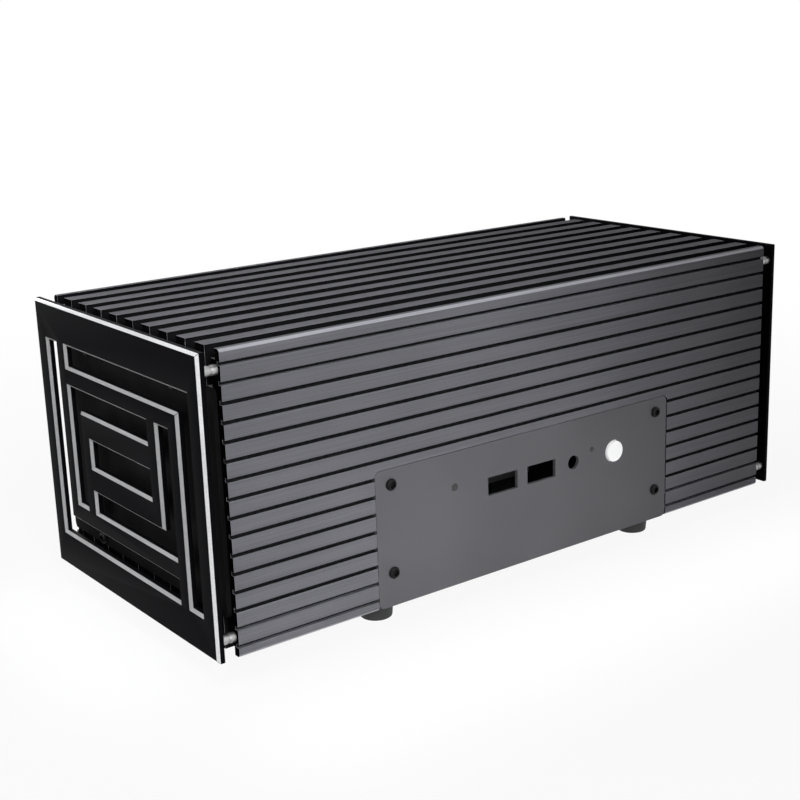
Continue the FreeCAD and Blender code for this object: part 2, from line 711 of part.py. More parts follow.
def board_posts():
    """Four hexagonal posts with a stud in the floor and a thread for the board."""
    body = new_body("board_posts", "0 - board_half_x", "0 - board_half_y", "foot_height + inner_level")
    outline = new_sketch(body, "hexagon", "XY_Plane")
    hexagon(outline, "0", "0", "post_radius")
    post = pad(body, outline, "post_height")
    round_stud = new_sketch(body, "stud", "XY_Plane")
    circle(round_stud, "0", "0", "screw_radius")
    stud = pad(body, round_stud, "screw_grip", reverse=True)
    hole = new_sketch(body, "thread", "XY_Plane", "post_height")
    circle(hole, "0", "0", "post_thread_radius")
    thread = pocket(body, hole, "post_thread_depth")
    repeat(body, [post, stud, thread], "X_Axis", "2 * board_half_x", "2", "Y_Axis", "2 * board_half_y")


def processor_block():
    """Heat block: a screwed flange on the floor and a core that rises to the processor."""
    body = new_body("processor_block", "0", "0", "foot_height + inner_level")
    flange = new_sketch(body, "flange", "XY_Plane")
    rounded_rectangle(flange, "0 - flange_length / 2", "0 - flange_depth / 2",
                      "flange_length / 2", "flange_depth / 2", "io_corner")
    four_circles(flange, "0", "0", "flange_screw_x", "flange_screw_y", "clear_hole")
    pad(body, flange, "flange_thickness")
    core = new_sketch(body, "core", "XY_Plane")
    rounded_rectangle(core, "0 - block_length / 2", "0 - block_depth / 2",
                      "block_length / 2", "block_depth / 2", "io_corner")
    pad(body, core, "block_height")
    rows = ("X_Axis", "2 * flange_screw_x", "2", "Y_Axis", "2 * flange_screw_y")
    place = ("0 - flange_screw_x", "flange_screw_y", "foot_height + inner_level + flange_thickness")
    screws("block_screws", place, "z", rows, ABOUT_X, length="flange_thickness + screw_grip")


def drive_tray():
    """Folded sheet under the roof: a hat section with drive holes and three slots."""
    body = new_body("drive_tray", "0", "drive_width / 2", "body_top - inner_level")
    section = new_sketch(body, "fold", "XZ_Plane")
    inner, outer = "drive_length / 2", "drive_length / 2 + tray_flange"
    leg, low, high = f"{inner} - sheet_thickness", "0 - tray_floor", "0 - sheet_thickness"
    polygon(section, [(f"0 - ({outer})", "0"), (f"0 - ({leg})", "0"), (f"0 - ({leg})", "0 - drive_space"),
                      (leg, "0 - drive_space"), (leg, "0"), (outer, "0"), (outer, high), (inner, high),
                      (inner, low), (f"0 - {inner}", low), (f"0 - {inner}", high), (f"0 - ({outer})", high)])
    pad(body, section, "drive_width")
    holes = new_sketch(body, "holes", "XY_Plane")
    across = "0 - drive_width / 2"
    four_circles(holes, "0", across, "drive_hole_x / 2", "drive_hole_y / 2", "drive_hole_radius")
    four_circles(holes, "0", across, "tray_screw_x", "tray_screw_y", "clear_hole")
    for shift in ("0 - tray_slot_pitch", "0", "tray_slot_pitch"):
        rectangle(holes, f"{shift} - tray_slot_width / 2", f"{across} - tray_slot_length / 2",
                  f"{shift} + tray_slot_width / 2", f"{across} + tray_slot_length / 2")
    pocket(body, holes, "2 * tray_floor")
    rows = ("X_Axis", "2 * tray_screw_x", "2", "Y_Axis", "2 * tray_screw_y")
    place = ("0 - tray_screw_x", "0 - tray_screw_y", "body_top - inner_level - sheet_thickness")
    screws("tray_screws", place, "z", rows, length="sheet_thickness + screw_grip")


# Feet

def feet():
    """Four soft feet under the second fins, each with a sunk screw."""
    for side_y, row in (("-", "front"), ("+", "rear")):
        for side_x, end in (("-", "left"), ("+", "right")):
            body = new_body(f"{row}_{end}_foot", f"0 {side_x} foot_spacing / 2", f"0 {side_y} foot_y")
            section = new_sketch(body, "section", "XZ_Plane")
            web = "foot_height - foot_web"
            polygon(section, [("foot_recess_radius", "0"), ("foot_radius - foot_taper", "0"),
                              ("foot_radius", "foot_height"), ("clear_hole", "foot_height"),
                              ("clear_hole", web), ("foot_recess_radius", web)])
            revolve(body, section, "Z_Axis")
    rows = ("X_Axis", "foot_spacing", "2", "Y_Axis", "2 * foot_y")
    place = ("0 - foot_spacing / 2", "0 - foot_y", "foot_height - foot_web")
    screws("foot_screws", place, "z", rows, length="foot_grip")


def build():
    """Make every piece of the case."""
    lower_shell()
    upper_shell()
    for side in ENDS:
        end_panel(side)
        panel_pins(side)
        end_plate(side)
        end_screws(side)
    port_plates()
    aerial_plugs()
    power_button()
    button_carrier()
    carrier_screws()
    lamp_and_sensor()
    board_posts()
    processor_block()
    drive_tray()
    feet()
    DOC.recompute()


def check():
    """Stop if anything failed, if a cut missed its body or if a shape is not sound."""
    for item in DOC.Objects:
        faults = {"Invalid", "Error"} & set(item.State)
        if faults:
            raise RuntimeError(f"{item.Label}: {sorted(faults)}")
        if item.TypeId == "PartDesign::Pocket" and item.Shape.Volume >= item.BaseFeature.Shape.Volume:
            raise RuntimeError(f"{item.Label} cuts nothing")
        if item.TypeId == "PartDesign::Body" and (item.Shape.isNull() or not item.Shape.isValid()):
            raise RuntimeError(f"{item.Label} has no sound shape")


def export():
    """Write each piece to its own file."""
    os.makedirs("parts", exist_ok=True)
    for item in DOC.Objects:
        if item.TypeId == "PartDesign::Body":
            item.Shape.exportStep(f"parts/{item.Label}.step")


fill_sheet()
build()
check()
export()
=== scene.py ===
"""Looks of a fanless mini computer case: finishes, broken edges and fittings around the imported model."""

import itertools
import json
import math

import bmesh
import bpy
from bpy.props import FloatProperty, FloatVectorProperty, IntProperty, PointerProperty
from mathutils import Matrix, Vector


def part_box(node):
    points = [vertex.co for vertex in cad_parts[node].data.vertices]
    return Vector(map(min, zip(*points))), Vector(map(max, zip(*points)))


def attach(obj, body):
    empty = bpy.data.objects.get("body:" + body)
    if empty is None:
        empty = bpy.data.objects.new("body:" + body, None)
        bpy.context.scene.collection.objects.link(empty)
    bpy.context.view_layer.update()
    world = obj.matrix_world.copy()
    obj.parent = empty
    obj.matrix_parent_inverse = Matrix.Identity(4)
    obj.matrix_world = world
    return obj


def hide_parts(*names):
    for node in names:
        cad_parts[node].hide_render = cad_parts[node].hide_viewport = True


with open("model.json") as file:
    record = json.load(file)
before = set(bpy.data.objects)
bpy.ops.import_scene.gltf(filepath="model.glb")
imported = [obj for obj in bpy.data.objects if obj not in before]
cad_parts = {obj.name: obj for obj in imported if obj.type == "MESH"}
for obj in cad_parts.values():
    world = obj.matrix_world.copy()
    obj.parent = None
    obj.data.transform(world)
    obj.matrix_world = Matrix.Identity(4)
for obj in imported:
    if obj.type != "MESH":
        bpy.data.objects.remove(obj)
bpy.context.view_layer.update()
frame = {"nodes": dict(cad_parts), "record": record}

bl_info = {
    "name": "Fanless Mini Case",
    "version": (1, 0, 0),
    "blender": (4, 5, 0),
    "location": "View3D > Sidebar > Case",
    "description": "Dresses the packed parts of a fanless mini computer case",
    "category": "Object",
}

MM = 0.001
FULL_TURN = 2 * math.pi
# Vertices closer than this are one vertex
MERGE = 0.002 * MM
# Faces that differ by less than this are one flat face
FLAT = math.radians(0.5)
# Angle above which an edge of a solid counts as a corner
CORNER = math.radians(25)
# Angle above which an edge of a finished piece is shaded sharp
SHARP = math.radians(20)
# Part of a normal along an axis above which a face leans towards that axis
SLANTED = 0.5
# Part of a normal along an axis above which a face looks along that axis
SQUARE = 0.9
# Half the width of the floor, in metres
FLOOR_REACH = 12
BODIES = frame["record"]["behaviour"]["bodies"]
BODY_OF = {node: body for body, nodes in BODIES.items() for node in nodes}
ENDS = {"left": Vector((-1, 0, 0)), "right": Vector((1, 0, 0))}


# Sizes and colours that a user would change

def length(name, description, default):
    """Length property, in metres."""
    return FloatProperty(name=name, description=description, default=default, min=0, unit="LENGTH",
                         precision=5)


def colour(name, description, default):
    """Linear colour property."""
    return FloatVectorProperty(name=name, description=description, default=default, size=3, min=0, max=1,
                               subtype="COLOR")


def angle(name, description, degrees):
    """Angle property."""
    return FloatProperty(name=name, description=description, default=math.radians(degrees), subtype="ANGLE")


def number(name, description, default):
    """Plain number property."""
    return FloatProperty(name=name, description=description, default=default)


class CaseSizes(bpy.types.PropertyGroup):
    """Small sizes that the finish adds to the solids."""
    shell_edge: length("Shell edge", "Broken edge of the extruded fins and grooves", 0.2 * MM)
    panel_edge: length("Panel edge", "Broken edge of the labyrinth panels", 0.1 * MM)
    panel_rim: length("Panel rim", "How far in from its box a chamfer of a panel counts as its rim", 1.5 * MM)
    plate_edge: length("Plate edge", "Broken edge of the port plates and inner sheets", 0.15 * MM)
    soft_edge: length("Soft edge", "Round on the edges of rubber and plastic", 0.45 * MM)
    outer_depth: length("Outer depth", "How far in from its box a face of a shell counts as outer", 0.6 * MM)
    # Faces of a shell nearer in than this get the painted shade of a fine groove
    groove_depth: length("Groove depth", "How far in from its box a face of a shell counts as a fine groove",
                         2 * MM)
    fin_depth: length("Fin depth", "How far in from its box the ground between two fins may lie", 13 * MM)
    head_radius: length("Screw head radius", "Radius of every screw head", 2.0 * MM)
    head_height: length("Screw head height", "Height of every screw head above its seat", 1.2 * MM)
    shank_radius: length("Screw shank radius", "Radius of every screw below its head", 1.5 * MM)
    socket_radius: length("Screw socket radius", "Corner radius of the hexagon socket", 1.25 * MM)
    socket_depth: length("Screw socket depth", "Depth of the hexagon socket", 0.9 * MM)
    pin_radius: length("Pin radius", "Radius of the pins between a panel and the shells", 1.6 * MM)
    pin_neck: length("Pin neck", "Radius at the groove round a pin", 1.35 * MM)
    pin_groove: length("Pin groove", "Width of the groove round a pin", 0.8 * MM)
    stud_radius: length("Stud radius", "Radius of the end of a pin in its shell", 1.2 * MM)
    button_dish: length("Button dish", "Depth of the hollow in the face of the button", 0.25 * MM)
    button_flange: length("Button flange", "How far the button's flange stands out from its cap", 1.1 * MM)
    flange_thickness: length("Flange thickness", "Thickness of the flange of the button", 1.0 * MM)
    stem_radius: length("Stem radius", "Radius of the stem behind the button", 1.6 * MM)
    slide_gap: length("Slide gap", "Gap between the flange of the button and the plate", 0.3 * MM)
    turned_steps: IntProperty(name="Turned steps", description="Facets round a turned piece", default=48,
                              min=12)


class CaseColours(bpy.types.PropertyGroup):
    """Base colours of the finishes."""
    shell: colour("Shell", "Dark grey anodised extrusion", (0.148, 0.148, 0.163))
    # Near black: painted shade of the narrow gap between the end panels and the shells
    painted_end_shade: colour("Sawn end", "Black ends of the extrusions", (0.00222, 0.00222, 0.002445))
    plate: colour("Port plate", "Dark grey anodised sheet", (0.113, 0.112, 0.122))
    plate_edge: colour("Plate edge", "Paler cut edges of the port plates", (0.1582, 0.1568, 0.1708))
    panel: colour("End panel", "Black anodised sheet", (0.0034, 0.0034, 0.0042))
    panel_rim: colour("Panel rim", "Bright chamfer round an end panel", (0.66, 0.66, 0.6675))
    panel_slot: colour("Panel slot", "Duller chamfer round the slots of a panel", (0.3168, 0.3168, 0.3204))
    # Darkened well below bare metal: painted shade of the gap between the panels and the shells
    pin: colour("Pin", "Turned metal of the panel pins", (0.396, 0.396, 0.4005))
    zinc: colour("Zinc", "Plain metal of the inner screws", (0.616, 0.616, 0.623))
    # Darkened far below milled metal: painted shade inside the closed case
    block: colour("Heat block", "Milled metal of the heat block", (0.176, 0.176, 0.178))
    black: colour("Black coat", "Black coat of the inner sheets and screws", (0.005, 0.005, 0.0053))
    button: colour("Button", "White gloss plastic", (0.86, 0.86, 0.86))
    # Clear rod tinted near black: painted shade of the dark hole behind it
    lamp_rod_shaded: colour("Lamp rod", "Clear rod in the lamp hole", (0.05, 0.05, 0.055))
    lens: colour("Lens", "Smoked lens in the sensor hole", (0.012, 0.008, 0.01))
    rubber: colour("Rubber", "Moulded rubber of the feet and plugs", (0.018, 0.018, 0.019))
    brass: colour("Brass", "Turned brass of the board posts", (0.72, 0.52, 0.24))


class CaseLook(bpy.types.PropertyGroup):
    """Camera, floor and light."""
    azimuth: angle("Azimuth", "Viewing direction round the case", -37.557)
    elevation: angle("Elevation", "Viewing height above the horizon", 15.429)
    roll: angle("Roll", "Tilt of the camera", -1.644)
    distance: length("Distance", "From the camera to the middle of the case", 0.5366)
    aim_height: length("Aim height", "Height of the middle of the case", 55.15 * MM)
    lens: number("Lens", "Focal length on a 36 mm wide frame, in millimetres", 64.634)
    shift_x: number("Shift across", "Camera shift across the picture", -0.0384)
    shift_y: number("Shift up", "Camera shift up the picture", -0.0046)
    ambient: number("Ambient", "Light from all round", 0.03)
    key_power: number("Key light", "Power of the narrow lamp in front, in watts", 0.19)
    key_spread: angle("Key spread", "Width of the beam of the lamp in front", 26)
    floor_power: number("Floor light", "Power of the strip lamp over the floor in front, in watts", 0.1)
    floor_spread: angle("Floor spread", "Width of the beam of the strip lamps", 18)
    top_power: number("Top light", "Power of the lamp overhead, in watts", 1.0)
    left_power: number("Left light", "Power of the lamp at the left-hand end, in watts", 1.7)
    back_power: number("Back light", "Power of the lamp behind, in watts", 3.2)
    right_power: number("Right light", "Power of the lamp at the right-hand end, in watts", 1.5)
    floor_grey: number("Floor grey", "Plain grey of the floor where light falls on it", 0.5)
    floor_glow: number("Floor glow", "Share of plain white in the floor beside the case", 0.92)
    floor_near: length("Floor near", "Distance from which the floor turns to plain white", 0.16)
    floor_far: length("Floor far", "Distance at which the floor is plain white", 0.5)
    # The button is no lamp: its glow is painted light
    button_painted_glow: number("Button glow", "Strength of the light behind the button", 0.3)


def sizes():
    """Small sizes of the open scene."""
    return bpy.context.scene.case_sizes


def colours():
    """Colours of the open scene."""
    return bpy.context.scene.case_colours


def look():
    """Camera, floor and light values of the open scene."""
    return bpy.context.scene.case_look


# Shader maths

class Wire:
    """A shader value that can be used in sums."""

    def __init__(self, finish, socket):
        self.finish = finish
        self.socket = socket

    def sum(self, operation, first, second):
        """Math node on two values."""
        return self.finish.node("ShaderNodeMath", {"operation": operation}, {0: first, 1: second})

    def __add__(self, other):
        return self.sum("ADD", self, other)

    def __radd__(self, other):
        return self.sum("ADD", other, self)

    def __sub__(self, other):
        return self.sum("SUBTRACT", self, other)

    def __rsub__(self, other):
        return self.sum("SUBTRACT", other, self)

    def __mul__(self, other):
        return self.sum("MULTIPLY", self, other)

    def __rmul__(self, other):
        return self.sum("MULTIPLY", other, self)


class Finish:
    """Node tree of one material or world, with the patterns that the finishes share."""

    def __init__(self, owner):
        owner.use_nodes = True
        self.owner = owner
        self.tree = owner.node_tree
        self.tree.nodes.clear()

    def node(self, kind, settings=None, inputs=None, output=0):
        """Add a node, set it, feed its sockets and give back one output, where it has any."""
        node = self.tree.nodes.new(kind)
        for name, setting in (settings or {}).items():
            setattr(node, name, setting)
        for key, value in (inputs or {}).items():
            if isinstance(value, Wire):
                self.tree.links.new(value.socket, node.inputs[key])
            else:
                node.inputs[key].default_value = value
        return Wire(self, node.outputs[output]) if node.outputs else None

    def noise(self, grains, detail=2.0):
        """Noise from 0 to 1, with about so many grains to a metre, all round or along each axis."""
        scale = grains if isinstance(grains, tuple) else (grains,) * 3
        place = self.node("ShaderNodeTexCoord", output="Object")
        place = self.node("ShaderNodeMapping", inputs={"Vector": place, "Scale": scale})
        return self.node("ShaderNodeTexNoise", inputs={"Vector": place, "Scale": 1.0, "Detail": detail})

    def span(self, value, low, high):
        """Value stretched so that low gives 0 and high gives 1."""
        return self.node("ShaderNodeMapRange", {"clamp": True},
                         {"Value": value, "From Min": low, "From Max": high})

    def tint(self, factor, base, dark, light):
        """Colour that goes from a darker to a lighter shade of the base."""
        return self.node("ShaderNodeMix", {"data_type": "RGBA"},
                         {"Factor": factor, 6: shade(base, dark), 7: shade(base, light)}, 2)

    def bump(self, height, strength, depth):
        """Relief from a height."""
        return self.node("ShaderNodeBump", inputs={"Height": height, "Strength": strength, "Distance": depth})

    def surface(self, **inputs):
        """Close the tree with a Principled surface, whose socket names have _ for a space."""
        named = {name.replace("_", " "): value for name, value in inputs.items()}
        shader = self.node("ShaderNodeBsdfPrincipled", inputs=named)
        self.node("ShaderNodeOutputMaterial", inputs={"Surface": shader})
        return self.owner


def shade(base, gain):
    """Colour made darker or lighter, with full alpha."""
    return (*(min(part * gain, 1.0) for part in base), 1.0)


def new_finish(name):
    """Finish on a new material."""
    return Finish(bpy.data.materials.new(name))


# Finishes

def extruded(name, base, gain=1.0, metallic=0.02, roughness=0.58, specular=0.02):
    """Anodised extrusion with fine drawn lines along its length."""
    finish = new_finish(name)
    lines = finish.noise((14, 2400, 2400), 3.0)
    cloud = finish.noise(20)
    grain = finish.noise(4500, 1.0)
    tone = finish.span(0.5 * lines + 0.3 * cloud + 0.2 * grain, 0.35, 0.65)
    return finish.surface(
        Base_Color=finish.tint(tone, base, 0.84 * gain, 1.16 * gain), Metallic=metallic,
        Roughness=roughness + 0.16 * lines, Specular_IOR_Level=specular,
        Normal=finish.bump(0.7 * lines + 0.3 * grain, 0.12, 0.05 * MM))


def blasted(name, base, roughness, specular, metallic=0.0):
    """Anodised sheet with an even, fine blasted grain."""
    finish = new_finish(name)
    grain = finish.noise(5200)
    cloud = finish.noise(28)
    tone = finish.span(0.55 * grain + 0.45 * cloud, 0.35, 0.65)
    return finish.surface(
        Base_Color=finish.tint(tone, base, 0.88, 1.12), Metallic=metallic,
        Roughness=roughness + 0.12 * grain, Specular_IOR_Level=specular,
        Normal=finish.bump(grain, 0.15, 0.04 * MM))


def cut_metal(name, base, grains, roughness=0.28, metallic=1.0):
    """Cut metal with tool marks, of so many grains to a metre along each axis."""
    finish = new_finish(name)
    marks = finish.noise(grains, 3.0)
    stain = finish.noise(60)
    tone = finish.span(0.6 * marks + 0.4 * stain, 0.35, 0.65)
    return finish.surface(
        Base_Color=finish.tint(tone, base, 0.86, 1.08), Metallic=metallic,
        Roughness=roughness + 0.18 * marks, Normal=finish.bump(marks, 0.1, 0.04 * MM))


def coated(name, base, roughness, specular):
    """Black coat with a slight orange-peel and paler dust."""
    finish = new_finish(name)
    peel = finish.noise(1800)
    dust = finish.span(finish.noise(90, 4.0), 0.45, 0.75)
    return finish.surface(
        Base_Color=finish.tint(dust, base, 0.9, 1.7), Metallic=0.0, Roughness=roughness + 0.15 * peel,
        Specular_IOR_Level=specular, Normal=finish.bump(peel, 0.12, 0.05 * MM))


def moulded(name, base, roughness, wear=1.25):
    """Moulded rubber or plastic with a fine skin and faint scuffs."""
    finish = new_finish(name)
    skin = finish.noise(3200)
    scuff = finish.span(finish.noise(160, 5.0), 0.4, 0.75)
    return finish.surface(
        Base_Color=finish.tint(scuff, base, 0.92, wear), Metallic=0.0, Roughness=roughness + 0.12 * scuff,
        Normal=finish.bump(skin, 0.08, 0.04 * MM))


def gloss_plastic(name, base, glow=0.0):
    """Smooth gloss plastic with faint handling marks, and a painted glow where glow is above 0."""
    finish = new_finish(name)
    marks = finish.noise(220, 4.0)
    return finish.surface(
        Base_Color=finish.tint(marks, base, 0.95, 1.04), Roughness=0.14 + 0.16 * marks, Coat_Weight=0.4,
        Emission_Color=shade(base, 1.0), Emission_Strength=glow)


def clear_plastic(name, base):
    """Clear moulded rod, faintly milky."""
    finish = new_finish(name)
    milk = finish.noise(400, 3.0)
    return finish.surface(
        Base_Color=finish.tint(milk, base, 0.9, 1.1), Roughness=0.12 + 0.14 * milk,
        Transmission_Weight=0.55, IOR=1.49)


# Meshes

def solid_copy(node):
    """Joined copy of a CAD node's loose triangles, with its flat faces whole again."""
    mesh = bmesh.new()
    mesh.from_mesh(frame["nodes"][node].data)
    bmesh.ops.remove_doubles(mesh, verts=mesh.verts, dist=MERGE)
    bmesh.ops.dissolve_limit(mesh, angle_limit=FLAT, verts=mesh.verts, edges=mesh.edges)
    return mesh


def break_edges(mesh, width, slot=0, segments=2):
    """Round the outer corners of a solid, and give the new faces a material slot."""
    corners = [edge for edge in mesh.edges
               if edge.is_manifold and edge.is_convex and edge.calc_face_angle() > CORNER]
    made = bmesh.ops.bevel(mesh, geom=corners, offset=width, offset_type="OFFSET", affect="EDGES",
                           segments=segments, profile=0.5, material=-1, clamp_overlap=True)
    for face in made["faces"]:
        face.material_index = slot


def turned(outline):
    """Solid made by turning a half outline of radius and height about the upright axis."""
    mesh = bmesh.new()
    points = [mesh.verts.new((radius, 0, height)) for radius, height in outline]
    lines = [mesh.edges.new(pair) for pair in zip(points, points[1:])]
    bmesh.ops.spin(mesh, geom=points + lines, axis=(0, 0, 1), cent=(0, 0, 0), angle=FULL_TURN,
                   steps=sizes().turned_steps, use_merge=True)
    bmesh.ops.remove_doubles(mesh, verts=mesh.verts, dist=MERGE)
    bmesh.ops.recalc_face_normals(mesh, faces=mesh.faces)
    return mesh


def copies(mesh, places):
    """Copy of a piece at each place, as one mesh."""
    pattern = bpy.data.meshes.new("pattern")
    mesh.to_mesh(pattern)
    mesh.free()
    group = bmesh.new()
    for place in places:
        first = len(group.verts)
        group.from_mesh(pattern)
        group.verts.ensure_lookup_table()
        bmesh.ops.transform(group, matrix=place, verts=group.verts[first:])
    bpy.data.meshes.remove(pattern)
    return group


def corner_places(node, outward, inset):
    """Places at the corners of a CAD node's box, on the face that looks outward.

    A side too short for two places has one in its middle.
    """
    low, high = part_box(node)
    turn = Vector((0, 0, 1)).rotation_difference(outward).to_matrix().to_4x4()
    spans = []
    for axis in range(3):
        if outward[axis]:
            spans.append([high[axis] if outward[axis] > 0 else low[axis]])
        elif high[axis] - low[axis] < 3 * inset:
            spans.append([(low[axis] + high[axis]) / 2])
        else:
            spans.append([low[axis] + inset, high[axis] - inset])
    return [Matrix.Translation(spot) @ turn for spot in itertools.product(*spans)]


def outer_face(node, outward):
    """How far out a CAD node reaches along a direction."""
    return max(corner.dot(outward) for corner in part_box(node))


def depth_of(node, outward):
    """Length of a CAD node along a direction."""
    low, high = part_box(node)
    return abs((high - low).dot(outward))


def depths_in(box, face):
    """How far in from the nearer side of a box a face lies, from front to back and from top to bottom."""
    low, high = box
    spot = face.calc_center_bounds()
    return [min(spot[axis] - low[axis], high[axis] - spot[axis]) for axis in (1, 2)]


def finished(mesh, finishes, node):
    """Make a piece of a mesh, shaded by its corners, in place of a CAD node."""
    for face in mesh.faces:
        face.smooth = True
    for edge in mesh.edges:
        edge.smooth = edge.is_manifold and edge.calc_face_angle() < SHARP
    name = f"{node}_dressed"
    data = bpy.data.meshes.new(name)
    mesh.to_mesh(data)
    mesh.free()
    if "custom_normal" in data.attributes:
        data.attributes.remove(data.attributes["custom_normal"])
    for finish in finishes:
        data.materials.append(finish)
    piece = bpy.data.objects.new(name, data)
    bpy.context.scene.collection.objects.link(piece)
    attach(piece, BODY_OF[node])
    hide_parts(node)


def dressed_copy(node, width, finishes, face_slot=None, edge_slot=0, segments=2):
    """Copy of a CAD node with broken edges; face_slot picks a finish for each flat face."""
    mesh = solid_copy(node)
    for face in mesh.faces:
        face.material_index = face_slot(face) if face_slot else 0
    break_edges(mesh, width, edge_slot, segments)
    finished(mesh, finishes, node)


# Pieces

class CASE_OT_shells(bpy.types.Operator):
    """Two finned shells with broken edges, with painted highlights on the edges and painted shade on the ends
    and in the grooves
    """
    bl_idname = "case.shells"
    bl_label = "Shells"

    def execute(self, context):
        base = colours().shell
        finishes = [extruded("shell_anodised", base),
                    # Anodised colour at 2.3 times its brightness on chamfers and broken edges: a painted
                    # highlight
                    extruded("shell_edges_painted_highlight", base, gain=2.3, metallic=0.3, roughness=0.4, specular=0.2),
                    # Ends of the shells near black: painted shade of the gap behind the end panels
                    blasted("shell_ends_painted_shade", colours().painted_end_shade, roughness=0.6, specular=0.002),
                    # Painted shade in the fine grooves: the anodised colour at 0.08 of its brightness
                    extruded("shell_grooves_painted_shade", base, gain=0.08, roughness=0.65, specular=0.03),
                    # Painted shade on faces deeper in than a fine groove: the anodised colour at 0.05 of its
                    # brightness
                    extruded("shell_depths_painted_shade", base, gain=0.05, metallic=0.0, roughness=0.7, specular=0.02)]
        plain, edge, painted_end_shade, groove, depth = range(len(finishes))
        for node in ("lower_shell", "upper_shell"):
            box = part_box(node)

            def face_slot(face):
                # Faces that look along the length, the ends, get the painted shade
                if abs(face.normal.x) > SQUARE:
                    return painted_end_shade
                # Slanted faces, the chamfers, get the painted highlight
                if max(abs(part) for part in face.normal) < SQUARE:
                    return edge
                inward, down = depths_in(box, face)
                # The ground between two fins keeps the plain colour, without painted shade
                between_fins = abs(face.normal.z) > SQUARE and down < sizes().fin_depth
                if between_fins or min(inward, down) < sizes().outer_depth:
                    return plain
                # The rest get painted shade: faces within a fine groove the groove shade, faces deeper in the
                # darker shade
                return groove if inward < sizes().groove_depth else depth

            # The broken edges get the painted highlight too
            dressed_copy(node, sizes().shell_edge, finishes, face_slot, edge)
        return {"FINISHED"}


class CASE_OT_end_panels(bpy.types.Operator):
    """Black labyrinth panels with bright chamfers"""
    bl_idname = "case.end_panels"
    bl_label = "End panels"

    def execute(self, context):
        milled = {"grains": (400, 3000, 3000), "roughness": 0.3, "metallic": 0.5}
        finishes = [blasted("panel_black", colours().panel, roughness=0.38, specular=0.008),
                    cut_metal("panel_slot_chamfers", colours().panel_slot, **milled),
                    cut_metal("panel_rim_chamfers", colours().panel_rim, **milled)]
        black, slot_chamfer, rim_chamfer = range(len(finishes))
        for side in ENDS:
            node = f"{side}_end_panel"
            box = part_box(node)

            def face_slot(face):
                if not SLANTED < abs(face.normal.x) < SQUARE:
                    return black
                return rim_chamfer if min(depths_in(box, face)) < sizes().panel_rim else slot_chamfer

            dressed_copy(node, sizes().panel_edge, finishes, face_slot)
        return {"FINISHED"}


class CASE_OT_panel_pins(bpy.types.Operator):
    """Turned pins between the panels and the shells, darkened as painted shade of the gap"""
    bl_idname = "case.panel_pins"
    bl_label = "Panel pins"

    def execute(self, context):
        # Pin colour darkened: painted shade of the gap
        finish = cut_metal("pin_turned_painted_shade", colours().pin, (5000, 300, 300), roughness=0.3)
        s = sizes()
        for side, outward in ENDS.items():
            node = f"{side}_panel_pins"
            end = depth_of(node, outward)
            gap = abs(outer_face(node, outward) - outer_face("upper_shell", outward))
            groove_low, groove_high = -(gap + s.pin_groove) / 2, -(gap - s.pin_groove) / 2
            mesh = turned([(0, 0), (s.pin_radius, 0), (s.pin_radius, groove_high), (s.pin_neck, groove_high),
                           (s.pin_neck, groove_low), (s.pin_radius, groove_low), (s.pin_radius, -gap),
                           (s.stud_radius, -gap), (s.stud_radius, -end), (0, -end)])
            break_edges(mesh, s.plate_edge)
            finished(copies(mesh, corner_places(node, outward, s.pin_radius)), [finish], node)
        return {"FINISHED"}


class CASE_OT_end_plates(bpy.types.Operator):
    """Black inner plates behind the labyrinth panels"""
    bl_idname = "case.end_plates"
    bl_label = "Inner end plates"

    def execute(self, context):
        finish = coated("end_plate_coat", colours().black, roughness=0.5, specular=0.03)
        for side in ENDS:
            dressed_copy(f"{side}_end_plate", sizes().plate_edge, [finish])
        return {"FINISHED"}


class CASE_OT_port_plates(bpy.types.Operator):
    """Plain port plates with clean cut-outs"""
    bl_idname = "case.port_plates"
    bl_label = "Port plates"

    def execute(self, context):
        finishes = [blasted("plate_anodised", colours().plate, roughness=0.46, specular=0.12, metallic=0.08),
                    blasted("plate_edges", colours().plate_edge, roughness=0.34, specular=0.3, metallic=0.3)]
        for node in ("front_io_plate", "rear_io_plate"):
            dressed_copy(node, sizes().plate_edge, finishes, edge_slot=1)
        return {"FINISHED"}


# Share of a screw head's radius, and drop as a share of its height, at each ring from the socket outwards
SCREW_DOME = ((0.68, 0), (0.86, 0.12), (0.96, 0.34), (1.0, 0.62), (0.97, 1.0))


